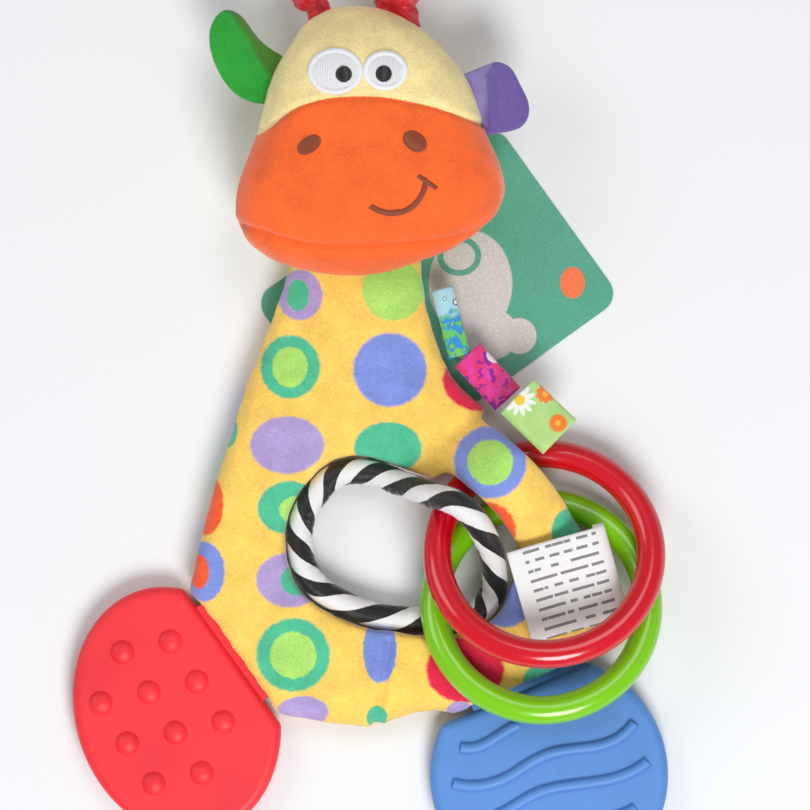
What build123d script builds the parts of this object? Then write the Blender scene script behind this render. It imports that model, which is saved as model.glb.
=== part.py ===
from build123d import *
import os
from math import cos, sin, radians

# Plush giraffe rattle lying on its back: +X to the viewer's right, +Y towards the head, +Z up.
# All sizes are millimetres.

# Body: a flat stuffed form on the table, with a raised arm that the rings hang on
BODY_BOTTOM = 0.6
BODY_TOP = 14.4
SEAM_Z = (BODY_BOTTOM + BODY_TOP) / 2
BODY_EDGE_CUT = 4.0
EDGE_SHRINK = 0.6
FABRIC = 1.0
LOOSE = 0.15
BINDING_R = 3.7

# Head: a pillow around its own mid height, seated on the rounded neck end
HEAD_CENTRE = (-1.0, 85.0)
HEAD_MID_Z = 21.0
HEAD_HALF_Z = 20.0
NECK_Y = 49.5
NECK_R = 6.9
NECK_SEAT_R = 7.9
CHIN_Z = 16.6
EMBROIDERY = 0.5

# Rings
RING_R = 31.75
RING_TUBE_R = 4.25
RED_CENTRE = (51.6, -38.2, 17.7)
RED_TILT = 22.5
GREEN_CENTRE = (50.9, -54.0, 13.1)
GREEN_TILT = 16.0
DENT_GAP = 0.5

# Teethers
PAD_Z = 5.6
PAD_THICK = 6.0
PAD_EDGE_R = 2.8
PAD_GAP = 0.4
PAD_CORNER_R = 3.0
TONGUE_THICK = 2.4
TONGUE_DEPTH = 3.6
POCKET_DEPTH = 4.6
POCKET_HALF_Z = 3.9
BUMP_R = 4.7
WAVE_R = 1.7

POCKET_MARGIN = 10.0
TONGUE_PLAY = 1.6
PAD_REACH = 90.0
RED_PAD_CENTRE = (-57.8, -86.0)
RED_PAD_RADII = (38.0, 30.4)
RED_PAD_TURN = -72.6
BLUE_PAD_CENTRE = (53.4, -104.9)
BLUE_PAD_R = 35.6
BUMP_ORIGIN = (-66.1, -80.0)
BUMP_ACROSS = (14.3, 3.2)
BUMP_DOWN = (7.9, -12.0)
BUMP_CELLS = ((0, -1), (1, -1), (-1, 0), (0, 0), (1, 0), (-1, 1), (0, 1), (1, 1), (-1, 2), (0, 2))
WAVES = (
    ((27.0, -96.5), (33.3, -95.9), (38.5, -92.9), (44.3, -89.7)),
    ((24.8, -107.2), (33.3, -107.8), (40.7, -105.5), (47.3, -101.4), (54.8, -98.0), (66.0, -96.4), (78.6, -89.2)),
    ((31.0, -119.0), (42.2, -114.4), (50.3, -109.9), (58.0, -108.0), (70.5, -106.2), (82.6, -100.7)),
    ((36.0, -129.5), (47.0, -124.5), (56.0, -119.6), (66.0, -118.2), (79.0, -114.6)),
)

# Ears and horns
EAR_PANEL = 1.2
EAR_GAP = 0.8
HORN_GAP = 1.0
GREEN_EAR = (
    (-25.0, 109.2), (-29.6, 111.3), (-34.6, 116.3), (-39.0, 121.6), (-42.6, 122.6), (-47.0, 118.0),
    (-47.3, 111.0), (-44.1, 102.7), (-38.8, 96.8), (-34.6, 95.0), (-30.0, 95.4),
)
PURPLE_EAR = (
    (34.0, 85.6), (41.1, 86.5), (45.4, 88.4), (47.2, 92.1), (44.3, 100.9), (41.0, 106.0), (37.6, 107.2),
    (32.0, 105.4), (25.0, 105.7),
)
HORN_STEM_R = 3.6
HORNS = (("left", (-15.2, 120.8), (-17.6, 130.0), 6.8, 9.9), ("right", (11.2, 118.7), (8.4, 129.2), 8.4, 9.6))

# Ribbons, label and tag
RIBBON = 0.4
LOOP_GAP = 0.4
RIBBONS = (
    ("blue", (18.0, 39.6, SEAM_Z), (23.4, 19.4, SEAM_Z), 6.4, 3.6),
    ("pink", (25.2, 17.0, SEAM_Z), (37.2, 4.0, SEAM_Z + 1.0), 10.0, 3.6),
    ("green", (38.6, 3.2, 16.5), (51.2, -9.0, 17.5), 14.0, 3.6),
)
LABEL_SEAM = ((65.6, -30.0, 16.0), (73.4, -57.0, 11.2))
LABEL_CURL = 1.6
LABEL_HEIGHT = 4.0
LABEL_REACH = 26.5
LABEL_THICK = 0.4
TAG_CENTRE = (20.0, 37.6)
TAG_SIZE = (89.8, 64.0)
TAG_TURN = 35.7
TAG_CORNER = 6.0
TAG_THICK = 0.4

# Face
HEAD_OUTLINE = (
    (-25.1, 110.1), (-30.8, 98.0), (-33.4, 87.0), (-38.2, 73.7), (-39.9, 62.8), (-36.7, 55.1),
    (-29.6, 48.9), (-20.7, 45.6), (-8.9, 43.6), (5.9, 45.0), (17.7, 49.2), (26.6, 53.0), (35.5, 59.8),
    (39.9, 66.9), (39.6, 73.7), (34.6, 85.6), (29.6, 100.4), (21.6, 111.3), (8.9, 121.1), (-8.9, 123.7),
    (-19.8, 118.1),
)
HEAD_LEVELS = (
    (-1.0, 0.42), (-0.92, 0.62), (-0.72, 0.83), (-0.4, 0.955), (0.0, 1.0),
    (0.4, 0.955), (0.72, 0.83), (0.92, 0.62), (1.0, 0.42),
)
HEAD_REACH = 70.0
BROW_SEAM = (
    (-60.0, 82.0), (-33.2, 85.8), (-20.6, 93.1), (-3.0, 95.8), (14.8, 93.7), (32.4, 88.7), (60.0, 80.0),
)
MOUTH_SEAM = ((-60.0, 64.0), (-37.0, 58.1), (-20.3, 52.8), (1.2, 52.2), (24.8, 54.6), (60.0, 66.0))
EYES = (("left", (-10.0, 103.2), (7.8, 6.6), (-7.5, 102.2)), ("right", (4.6, 103.4), (6.2, 5.4), (4.1, 102.3)))
PUPIL_R = 2.2
NOSTRILS = (("left", (-17.6, 81.6), (3.6, 2.0), 35.0), ("right", (13.2, 82.6), (3.6, 2.4), -35.0))
SMILE = ((0.1, 63.8), (6.8, 61.8), (11.8, 63.2), (15.3, 67.3), (16.5, 70.2))
DIMPLE = ((14.0, 72.6), (19.4, 69.1))
SMILE_WIDTH = 1.8

# Rattle capsule
CAPSULE_R = 13.0
CAPSULE_HALF = 9.0
CAPSULE_EDGE_R = 3.0
CAPSULE_WALL = 1.4
BEAD_R = 2.0
BEAD_RING_R = 5.0
BEAD_COUNT = 5

os.makedirs("parts", exist_ok=True)


def finish(piece, name):
    piece.label = name
    export_step(piece, "parts/" + name + ".step")


# ---------------------------------------------------------------- body
NECK_END = ((15.5, 50.0), (15.5, NECK_Y + NECK_R), (-24.5, NECK_Y + NECK_R), (-24.5, 50.0))
RED_SEAM = ((-54.9, -49.8), (-28.2, -87.0))
BLUE_SEAM = ((25.4, -87.6), (69.9, -68.9))
RIGHT_SIDE = (
    (72.6, -58.8), (70.2, -43.8), (65.9, -31.8), (57.5, -18.3), (47.5, -6.6),
    (35.9, 4.2), (26.3, 13.5), (20.6, 25.0), (17.0, 39.0),
)
LEFT_SIDE = ((-27.0, 40.0), (-30.6, 30.0), (-35.3, 18.6), (-41.6, -1.0), (-47.3, -18.0), (-51.4, -35.0))
BOTTOM_SIDE = ((-14.0, -89.8), (0.0, -90.8), (11.0, -87.6))
HOLE_MID = (
    (-21.0, -36.5), (-20.3, -28.5), (-16.2, -20.8), (-9.0, -14.8), (0.5, -14.6),
    (9.5, -17.7), (18.5, -20.8), (27.0, -24.2), (33.6, -32.2), (36.8, -42.0),
    (36.2, -51.0), (30.5, -57.0), (18.0, -58.3), (4.0, -57.6), (-9.0, -53.0), (-17.5, -46.5),
)
# Height of the binding's middle at each of the points above: it climbs with the arm
HOLE_RISE = (0, 0, 0, 0, 0.8, 5.0, 14.5, 20.4, 15.0, 5.6, -1.0, -2.4, -2.4, -1.0, 0, 0)
ARM_GAP = ((12.0, -28.5), (20.0, -52.0), (34.0, -48.0), (68.6, -36.4), (80.0, -24.0), (37.5, 7.5))
# Arm sections: middle, direction of the arm in degrees, lean of the section, half width
ARM_SECTIONS = (
    ((17.2, 2.0, SEAM_Z), -36.0, 0.0, 9.6),
    ((24.4, -3.7, SEAM_Z + 2.4), -40.0, 3.0, 10.3),
    ((38.1, -13.9, 23.0), -48.0, 16.0, 10.6),
    ((49.0, -26.7, 17.2), -58.0, 9.0, 10.6),
    ((55.1, -41.7, SEAM_Z + 1.0), -70.0, 1.0, 11.4),
    ((57.0, -51.0, SEAM_Z), -72.0, 0.0, 11.0),
)
ARM_HALF_Z = 5.6


def arm_plane(middle, heading, lean):
    across = Vector(-sin(radians(heading)), cos(radians(heading)), 0)
    level = Plane(origin=middle, x_dir=across, z_dir=(cos(radians(heading)), sin(radians(heading)), 0))
    return level.rotated((0, 0, lean))


def inward(points, inset):
    """The closed outline's points, each moved to the left of its run by the inset."""
    moved = []
    for before, here, after in zip(points[-1:] + points[:-1], points, points[1:] + points[:1]):
        enter = (Vector(*here) - Vector(*before)).normalized()
        leave = (Vector(*after) - Vector(*here)).normalized()
        inner = (enter + leave).normalized().rotate(Axis.Z, 90)
        moved.append(Vector(*here) + inner * (inset / inner.dot(leave.rotate(Axis.Z, 90))))
    return moved


def body_form(inset):
    outline = [*RIGHT_SIDE, *NECK_END, *LEFT_SIDE, *RED_SEAM, *BOTTOM_SIDE, *BLUE_SEAM]
    places = inward(outline, inset)
    cuts = [0]
    for run in (RIGHT_SIDE, NECK_END, LEFT_SIDE, RED_SEAM, BOTTOM_SIDE, BLUE_SEAM):
        cuts.append(cuts[-1] + len(run))
    right, neck, left, red, bottom, blue = (places[a:b] for a, b in zip(cuts, cuts[1:]))
    with BuildPart() as form:
        with BuildSketch(Plane.XY.offset(BODY_BOTTOM + inset)):
            with BuildLine():
                Spline(blue[1], *right, neck[0])
                Polyline(*neck)
                Spline(neck[-1], *left, red[0])
                Line(red[0], red[1])
                Spline(red[1], *bottom, blue[0])
                Line(blue[0], blue[1])
            make_face()
        extrude(amount=BODY_TOP - BODY_BOTTOM - 2 * inset)
        rims = form.faces().filter_by(Axis.Z).edges()
        chamfer(rims, BODY_EDGE_CUT - EDGE_SHRINK * inset)
        with BuildSketch(Plane.XY):
            with BuildLine():
                Polyline(*inward(list(ARM_GAP), -inset), close=True)
            make_face()
        extrude(amount=BODY_TOP + 1, mode=Mode.SUBTRACT)
        with BuildSketch(Plane.XY):
            with BuildLine():
                Spline(*inward(list(HOLE_MID), BINDING_R + LOOSE + inset), periodic=True)
            make_face()
        extrude(amount=BODY_TOP + 1, mode=Mode.SUBTRACT)
    return form.part


def arm_form(inset):
    with BuildPart() as arm:
        for middle, heading, lean, half_width in ARM_SECTIONS:
            with BuildSketch(arm_plane(middle, heading, lean)):
                Ellipse(half_width - inset, ARM_HALF_Z - inset)
        loft()
    return arm.part


def binding_form(radius):
    points = [(x, y, SEAM_Z + rise) for (x, y), rise in zip(HOLE_MID, HOLE_RISE)]
    with BuildLine() as loop:
        Spline(*points, periodic=True)
    with BuildPart() as roll:
        for first, last in ((0.0, 0.5), (0.5, 1.0)):
            with BuildLine() as path:
                add(loop.edge().trim(first, last))
            with BuildSketch(Plane(origin=path.line @ 0, z_dir=path.line % 0)):
                Circle(radius)
            sweep(path=path.line)
    return roll.part


def strip_loop(start, end, reach, height):
    """A flattened tube of ribbon that stands out from the seam between two points."""
    along = (Vector(*end) - Vector(*start)).normalized()
    outward = along.cross(Vector(0, 0, 1)).normalized() * -1
    with BuildPart() as loop:
        with BuildSketch(Plane(origin=start, x_dir=outward, z_dir=along)):
            with Locations((LOOP_GAP + reach / 2, 0)):
                SlotOverall(reach, height)
                SlotOverall(reach - 2 * RIBBON, height - 2 * RIBBON, mode=Mode.SUBTRACT)
        extrude(amount=(Vector(*end) - Vector(*start)).length)
    return loop.part


def prism(points, low, high, smooth=0):
    """A vertical prism; the first points lie on a smooth seam and the rest are corners."""
    with BuildPart() as block:
        with BuildSketch(Plane.XY.offset(low)):
            with BuildLine():
                if smooth:
                    Spline(*points[:smooth])
                    Polyline(*points[smooth - 1:], points[0])
                else:
                    Polyline(*points, close=True)
            make_face()
        extrude(amount=high - low)
    return block.part


def pocket(seam):
    """The slot in a leg's end that a teether's tongue moves in."""
    start, end = Vector(*seam[0], PAD_Z), Vector(*seam[1], PAD_Z)
    along = (end - start).normalized()
    with BuildPart() as slot:
        with BuildSketch(Plane(origin=(start + end) / 2, x_dir=along, z_dir=(0, 0, 1)).offset(-POCKET_HALF_Z)):
            Rectangle((end - start).length - POCKET_MARGIN, 2 * POCKET_DEPTH)
        extrude(amount=2 * POCKET_HALF_Z)
    return slot.part


def ring_form(centre, tilt, tube_radius):
    lean = Vector(0, sin(radians(tilt)), cos(radians(tilt)))
    with BuildPart() as ring:
        with BuildSketch(Plane(origin=centre, x_dir=(1, 0, 0), z_dir=lean.cross(Vector(1, 0, 0)) * -1)):
            with Locations((RING_R, 0)):
                Circle(tube_radius)
        revolve(axis=Axis(centre, lean), revolution_arc=360)
    return ring.part


# The plush gives way where the green ring lies on it
ring_dent = ring_form(GREEN_CENTRE, GREEN_TILT, RING_TUBE_R + DENT_GAP)
pockets = [pocket(RED_SEAM), pocket(BLUE_SEAM)]
arm_room = arm_form(-LOOSE)
slab = body_form(0)
slab_lining = body_form(FABRIC)

with BuildPart() as body_core:
    add(slab_lining)
    add(arm_room)
    for slot in pockets:
        add(slot)
for name, keep in (("body_front_panel", Keep.TOP), ("body_back_panel", Keep.BOTTOM)):
    with BuildPart() as panel:
        add(slab)
        add(body_core.part, mode=Mode.SUBTRACT)
        add(ring_dent, mode=Mode.SUBTRACT)
        split(bisect_by=Plane.XY.offset(SEAM_Z), keep=keep)
    finish(panel.part, name)

with BuildPart() as body_stuffing:
    add(body_form(FABRIC + LOOSE))
    for slot in pockets:
        add(slot, mode=Mode.SUBTRACT)
    add(ring_dent, mode=Mode.SUBTRACT)
    add(arm_room, mode=Mode.SUBTRACT)
finish(body_stuffing.part, "body_stuffing")

with BuildPart() as arm_sleeve:
    add(arm_form(0))
    add(arm_form(FABRIC), mode=Mode.SUBTRACT)
finish(arm_sleeve.part, "arm_sleeve")

with BuildPart() as arm_stuffing:
    add(arm_form(FABRIC + LOOSE))
finish(arm_stuffing.part, "arm_stuffing")

with BuildPart() as grip_binding:
    add(binding_form(BINDING_R))
finish(grip_binding.part, "grip_binding")

# ---------------------------------------------------------------- ribbons, label and tag
for name, start, end, reach, height in RIBBONS:
    finish(strip_loop(start, end, reach, height), "ribbon_" + name)

label_start, label_end = Vector(*LABEL_SEAM[0]), Vector(*LABEL_SEAM[1])
label_along = (label_end - label_start).normalized()
label_out = Vector(0, 0, 1).cross(label_along).normalized() * -1
with BuildPart() as care_label:
    with BuildSketch(Plane(origin=label_start, x_dir=label_out * -1, z_dir=label_along)):
        with BuildLine() as fold:
            Line((LOOP_GAP, 0), (LABEL_CURL, 0))
            TangentArc((LABEL_CURL, 0), (LABEL_CURL, LABEL_HEIGHT), tangent=(1, 0))
            Line((LABEL_CURL, LABEL_HEIGHT), (-LABEL_REACH, LABEL_HEIGHT))
        trace(fold.line, line_width=LABEL_THICK)
    extrude(amount=(label_end - label_start).length)
finish(care_label.part, "care_label")

with BuildPart() as hang_tag:
    with BuildSketch(Plane.XY):
        with Locations(Location(TAG_CENTRE, TAG_TURN)):
            RectangleRounded(TAG_SIZE[0], TAG_SIZE[1], TAG_CORNER)
    extrude(amount=TAG_THICK)
finish(hang_tag.part, "hang_tag")


# ---------------------------------------------------------------- head
def head_form(inset):
    places = inward(list(HEAD_OUTLINE), inset)
    middle = Vector(*HEAD_CENTRE)
    half = HEAD_HALF_Z - inset
    with BuildPart() as form:
        for step, size in HEAD_LEVELS:
            with BuildSketch(Plane.XY.offset(HEAD_MID_Z + step * half)):
                with BuildLine():
                    Spline(*[middle + (place - middle) * size for place in places], periodic=True)
                make_face()
        loft()
        with BuildSketch(Plane.YZ.offset(-HEAD_REACH)):
            with Locations((NECK_Y, SEAM_Z)):
                Circle(NECK_SEAT_R + inset)
            with Locations((NECK_Y, CHIN_Z + inset)):
                Rectangle(HEAD_REACH, HEAD_REACH, align=(Align.MAX, Align.MAX))
        extrude(amount=2 * HEAD_REACH, mode=Mode.SUBTRACT)
    return form.part


head_outer = head_form(0)
head_lining = head_form(FABRIC)
head_clear = head_form(-EAR_GAP)
top = HEAD_MID_Z + HEAD_HALF_Z + 4
low_y, high_y = -HEAD_REACH, 2 * HEAD_REACH
left_x, right_x = -HEAD_REACH, HEAD_REACH
brow_zone = prism([*BROW_SEAM, (right_x, high_y), (left_x, high_y)], HEAD_MID_Z, top, len(BROW_SEAM))
jaw_zone = prism([*MOUTH_SEAM, (right_x, low_y), (left_x, low_y)], HEAD_MID_Z, top, len(MOUTH_SEAM))

with BuildPart() as head_shell:
    add(head_outer)
    add(head_lining, mode=Mode.SUBTRACT)

with BuildPart() as head_back_panel:
    add(head_shell.part)
    split(bisect_by=Plane.XY.offset(HEAD_MID_Z), keep=Keep.BOTTOM)
finish(head_back_panel.part, "head_back_panel")

with BuildPart() as head_brow_panel:
    add(head_shell.part)
    add(brow_zone, mode=Mode.INTERSECT)
finish(head_brow_panel.part, "head_brow_panel")

with BuildPart() as jaw_panel:
    add(head_shell.part)
    add(jaw_zone, mode=Mode.INTERSECT)
finish(jaw_panel.part, "jaw_panel")

with BuildPart() as muzzle_panel:
    add(head_shell.part)
    split(bisect_by=Plane.XY.offset(HEAD_MID_Z), keep=Keep.TOP)
    add(brow_zone, mode=Mode.SUBTRACT)
    add(jaw_zone, mode=Mode.SUBTRACT)
finish(muzzle_panel.part, "muzzle_panel")

with BuildPart() as head_stuffing:
    add(head_form(FABRIC + LOOSE))
    with Locations((*HEAD_CENTRE, HEAD_MID_Z)):
        Cylinder(CAPSULE_R + LOOSE, 2 * (CAPSULE_HALF + LOOSE), mode=Mode.SUBTRACT)
finish(head_stuffing.part, "head_stuffing")

# A closed pill box of two halves in the middle of the stuffing, with loose beads inside
for name, keep in (("rattle_capsule_base", Keep.BOTTOM), ("rattle_capsule_top", Keep.TOP)):
    with BuildPart() as capsule:
        with Locations((*HEAD_CENTRE, HEAD_MID_Z)):
            Cylinder(CAPSULE_R, 2 * CAPSULE_HALF)
            fillet(capsule.edges(), CAPSULE_EDGE_R)
            Cylinder(CAPSULE_R - CAPSULE_WALL, 2 * (CAPSULE_HALF - CAPSULE_WALL), mode=Mode.SUBTRACT)
        split(bisect_by=Plane.XY.offset(HEAD_MID_Z), keep=keep)
    finish(capsule.part, name)

with BuildPart() as rattle_beads:
    with Locations((*HEAD_CENTRE, HEAD_MID_Z - CAPSULE_HALF + CAPSULE_WALL + BEAD_R + LOOSE)):
        with PolarLocations(BEAD_RING_R, BEAD_COUNT):
            Sphere(BEAD_R)
finish(rattle_beads.part, "rattle_beads")

# ---------------------------------------------------------------- embroidery on the face
eye_layer = head_form(-EMBROIDERY)
pupil_layer = head_form(-2 * EMBROIDERY)


def stitched(shape_plane_points, upper, lower):
    """A patch of thread that follows the face between two depths."""
    with BuildPart() as patch:
        add(shape_plane_points)
        add(upper, mode=Mode.INTERSECT)
        add(lower, mode=Mode.SUBTRACT)
    return patch.part


def oval(centre, radii, turn=0):
    with BuildPart() as block:
        with BuildSketch(Plane.XY.offset(HEAD_MID_Z)):
            with Locations(Location(centre, turn)):
                Ellipse(*radii)
        extrude(amount=top - HEAD_MID_Z)
    return block.part


for side, centre, radii, pupil in EYES:
    finish(stitched(oval(centre, radii), eye_layer, head_outer), "eye_patch_" + side)
    finish(stitched(oval(pupil, (PUPIL_R, PUPIL_R)), pupil_layer, eye_layer), "pupil_" + side)
for side, centre, radii, turn in NOSTRILS:
    finish(stitched(oval(centre, radii, turn), eye_layer, head_outer), "nostril_" + side)

with BuildPart() as smile_block:
    with BuildSketch(Plane.XY.offset(HEAD_MID_Z)):
        with BuildLine() as smile:
            Spline(*SMILE)
        trace(smile.line, line_width=SMILE_WIDTH)
        with BuildLine() as dimple:
            Line(*DIMPLE)
        trace(dimple.line, line_width=SMILE_WIDTH)
    extrude(amount=top - HEAD_MID_Z)
finish(stitched(smile_block.part, eye_layer, head_outer), "smile_stitching")

# ---------------------------------------------------------------- ears: two fabric layers each
for name, outline in (("green", GREEN_EAR), ("purple", PURPLE_EAR)):
    for side, level in (("back", HEAD_MID_Z - EAR_PANEL), ("front", HEAD_MID_Z)):
        with BuildPart() as ear:
            with BuildSketch(Plane.XY.offset(level)):
                with BuildLine():
                    Spline(*outline)
                    Line(outline[-1], outline[0])
                make_face()
            extrude(amount=EAR_PANEL)
            add(head_clear, mode=Mode.SUBTRACT)
        finish(ear.part, "ear_" + name + "_" + side)

# ---------------------------------------------------------------- horns: satin tubes tied in a knot
horn_clear = head_form(-HORN_GAP)
for name, root, knot, radius, tip in HORNS:
    start, middle = Vector(*root, HEAD_MID_Z), Vector(*knot, HEAD_MID_Z)
    axis = (middle - start).normalized()
    with BuildPart() as horn:
        with BuildSketch(Plane(origin=start - axis * HORN_STEM_R, z_dir=axis)):
            Circle(HORN_STEM_R)
        extrude(amount=(middle - start).length + HORN_STEM_R)
        with Locations(middle):
            Sphere(radius)
        with BuildSketch(Plane(origin=middle, z_dir=axis)):
            Circle(HORN_STEM_R)
        extrude(amount=tip)
        add(horn_clear, mode=Mode.SUBTRACT)
    finish(horn.part, "horn_" + name)

# ---------------------------------------------------------------- rings
for name, centre, tilt in (("red", RED_CENTRE, RED_TILT), ("green", GREEN_CENTRE, GREEN_TILT)):
    finish(ring_form(centre, tilt, RING_TUBE_R), "ring_" + name)


# ---------------------------------------------------------------- teethers
def pad_blank(outline, seam):
    """The flat pad: its outline cut along the leg's end, with a round edge and a tongue for the leg."""
    start, end = Vector(*seam[0], PAD_Z), Vector(*seam[1], PAD_Z)
    along = (end - start).normalized()
    outward = along.cross(Vector(0, 0, 1))
    middle = (start + end) / 2
    with BuildPart() as pad:
        with BuildSketch(Plane.XY.offset(PAD_Z - PAD_THICK / 2)) as flat:
            add(outline)
            near = middle + outward * PAD_GAP
            with BuildLine():
                Polyline(near + along * PAD_REACH, near - along * PAD_REACH,
                         near - along * PAD_REACH - outward * PAD_REACH,
                         near + along * PAD_REACH - outward * PAD_REACH, close=True)
            make_face(mode=Mode.SUBTRACT)
            corners = [v for v in flat.vertices() if abs((Vector(v) - near).dot(outward)) < LOOSE]
            fillet(corners, PAD_CORNER_R)
        extrude(amount=PAD_THICK)
        fillet(pad.faces().filter_by(Axis.Z).edges(), PAD_EDGE_R)
        with BuildSketch(Plane(origin=middle - outward * TONGUE_DEPTH, x_dir=along, z_dir=outward)):
            Rectangle((end - start).length - POCKET_MARGIN - TONGUE_PLAY, TONGUE_THICK)
        extrude(amount=TONGUE_DEPTH + PAD_THICK)
    return pad.part


with BuildSketch() as red_outline:
    with Locations(Location(RED_PAD_CENTRE, RED_PAD_TURN)):
        Ellipse(*RED_PAD_RADII)
with BuildPart() as teether_red:
    add(pad_blank(red_outline.sketch, RED_SEAM))
    for column, row in BUMP_CELLS:
        place = Vector(*BUMP_ORIGIN) + Vector(*BUMP_ACROSS) * column + Vector(*BUMP_DOWN) * row
        with Locations((place.X, place.Y, PAD_Z)):
            Sphere(BUMP_R)
finish(teether_red.part, "teether_red")

with BuildSketch() as blue_outline:
    with Locations(BLUE_PAD_CENTRE):
        Circle(BLUE_PAD_R)
with BuildPart() as teether_blue:
    add(pad_blank(blue_outline.sketch, BLUE_SEAM))
    for wave in WAVES:
        with BuildLine() as crest:
            Spline(*[(x, y, PAD_Z + PAD_THICK / 2) for x, y in wave])
        with BuildSketch(Plane(origin=crest.line @ 0, z_dir=crest.line % 0)):
            Circle(WAVE_R)
        sweep(path=crest.line)
finish(teether_blue.part, "teether_blue")
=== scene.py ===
import bisect
import bmesh
import bpy
import math
from mathutils import Matrix, Vector, noise
from mathutils.bvhtree import BVHTree


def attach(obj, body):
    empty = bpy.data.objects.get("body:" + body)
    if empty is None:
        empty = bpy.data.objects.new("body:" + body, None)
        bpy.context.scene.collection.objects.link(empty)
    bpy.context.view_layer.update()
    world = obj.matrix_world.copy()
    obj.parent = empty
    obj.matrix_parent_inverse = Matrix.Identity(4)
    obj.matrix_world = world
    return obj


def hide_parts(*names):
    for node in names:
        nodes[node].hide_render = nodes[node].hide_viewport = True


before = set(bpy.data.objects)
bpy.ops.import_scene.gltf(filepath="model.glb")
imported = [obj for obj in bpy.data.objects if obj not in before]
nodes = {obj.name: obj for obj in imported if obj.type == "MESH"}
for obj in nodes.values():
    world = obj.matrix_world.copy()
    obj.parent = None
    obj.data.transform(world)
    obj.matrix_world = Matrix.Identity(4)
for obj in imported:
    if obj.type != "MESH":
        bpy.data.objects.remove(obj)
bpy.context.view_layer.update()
mm = 0.001

# ---------------------------------------------------------------- table, lights and camera
# A plain pale table top, one broad soft light from the feet's side with two weak fills,
# and a camera high above the toy, looking straight down.
TABLE_HALF = 2.0
CAMERA_PLACE = (10.35 * mm, 5.7 * mm, 1.5)
SEEN_WIDTH = 243 * mm
SENSOR = 36.0


def shader(name, roughness, sheen=0.0, coat=0.0):
    """A new material, its principled shader and a maker of its other nodes."""
    material = bpy.data.materials.new(name)
    material.use_nodes = True
    tree = material.node_tree
    surface = tree.nodes["Principled BSDF"]
    surface.inputs["Roughness"].default_value = roughness
    surface.inputs["Sheen Weight"].default_value = sheen
    surface.inputs["Sheen Roughness"].default_value = 0.45
    surface.inputs["Coat Weight"].default_value = coat
    surface.inputs["Coat Roughness"].default_value = 0.08

    def add(kind, sources=None, **settings):
        node = tree.nodes.new("ShaderNode" + kind)
        for key, value in settings.items():
            setattr(node, key, value)
        for socket, value in (sources or {}).items():
            if isinstance(value, bpy.types.NodeSocket):
                tree.links.new(value, node.inputs[socket])
            else:
                node.inputs[socket].default_value = value
        return node

    return material, surface, add, tree.links


def blend_colours(add, share, below, above):
    """One colour over another, by share."""
    node = add("Mix", data_type="RGBA", clamp_factor=True)
    links = node.id_data.links
    for socket, value in ((node.inputs[0], share), (node.inputs[6], below), (node.inputs[7], above)):
        if isinstance(value, bpy.types.NodeSocket):
            links.new(value, socket)
        else:
            socket.default_value = value if socket.type == "VALUE" else (*value, 1.0)[:4]
    return node.outputs[2]


def add_bump(add, links, surface, height, distance, strength=1.0):
    bump = add("Bump", {"Height": height, "Distance": distance, "Strength": strength})
    links.new(bump.outputs["Normal"], surface.inputs["Normal"])


def maths(add, operation, *values):
    """The result of one Math node."""
    return add("Math", dict(enumerate(values)), operation=operation).outputs[0]


def new_piece(name, shape):
    """An object in the scene that takes over the shape as its mesh."""
    data = bpy.data.meshes.new(name)
    shape.to_mesh(data)
    shape.free()
    piece = bpy.data.objects.new(name, data)
    bpy.context.scene.collection.objects.link(piece)
    return piece


def give_material(piece, material):
    piece.data.materials.clear()
    piece.data.materials.append(material)


table_mesh = bmesh.new()
bmesh.ops.create_grid(table_mesh, x_segments=1, y_segments=1, size=TABLE_HALF)
table_top = new_piece("table_top", table_mesh)
paper, paper_surface, _, _ = shader("pale_table", 0.75)
paper_surface.inputs["Base Color"].default_value = (0.80, 0.81, 0.825, 1)
give_material(table_top, paper)

world = bpy.data.worlds.new("soft_room")
world.use_nodes = True
world.node_tree.nodes["Background"].inputs["Color"].default_value = (0.95, 0.97, 1.0, 1)
world.node_tree.nodes["Background"].inputs["Strength"].default_value = 0.34
bpy.context.scene.world = world
bpy.context.scene.view_settings.view_transform = "Standard"
for name, place, size, power in (
    ("key_softbox", (0.25, -0.75, 0.95), 0.6, 11.5),
    ("fill_left", (-0.9, 0.35, 0.8), 0.7, 3.2),
    ("fill_top", (0.3, 0.6, 1.2), 0.7, 3.2),
):
    lamp = bpy.data.lights.new(name, "AREA")
    lamp.shape = "DISK"
    lamp.size = size
    lamp.energy = power
    softbox = bpy.data.objects.new(name, lamp)
    softbox.location = place
    softbox.rotation_euler = (-Vector(place)).to_track_quat("-Z", "Y").to_euler()
    bpy.context.scene.collection.objects.link(softbox)

lens = bpy.data.cameras.new("camera")
lens.sensor_width = SENSOR
lens.lens = SENSOR * CAMERA_PLACE[2] / SEEN_WIDTH
camera = bpy.data.objects.new("camera", lens)
camera.location = CAMERA_PLACE
bpy.context.scene.collection.objects.link(camera)
bpy.context.scene.camera = camera


# ---------------------------------------------------------------- the stuffed body and its arm
# Two velour panels printed with round spots, sewn together and filled, with one arm that
# arches over the rings. The fill presses the velour out between the seams.
BODY_NODES = ("body_front_panel", "body_back_panel", "body_stuffing", "arm_sleeve", "arm_stuffing")
BODY_VOXEL = 1.5 * mm
BODY_SLACK = 0.5 * mm
BODY_SWELL = 1.0 * mm
SEAM_HEIGHT = 7.5 * mm
DART = ((5.5, -64.5), (5.3, -67.4), (4.1, -76.0), (2.9, -84.1), (1.7, -90.0))
DART_WIDTH = 2.0 * mm
DART_DEPTH = 1.5 * mm
DART_LIP = 0.5 * mm
GROOVE_DEPTH, GROOVE_BAND = 0.5 * mm, 0.7 * mm
GATHER_DEPTH, GATHER_BAND = 0.35 * mm, 3.5 * mm


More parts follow.
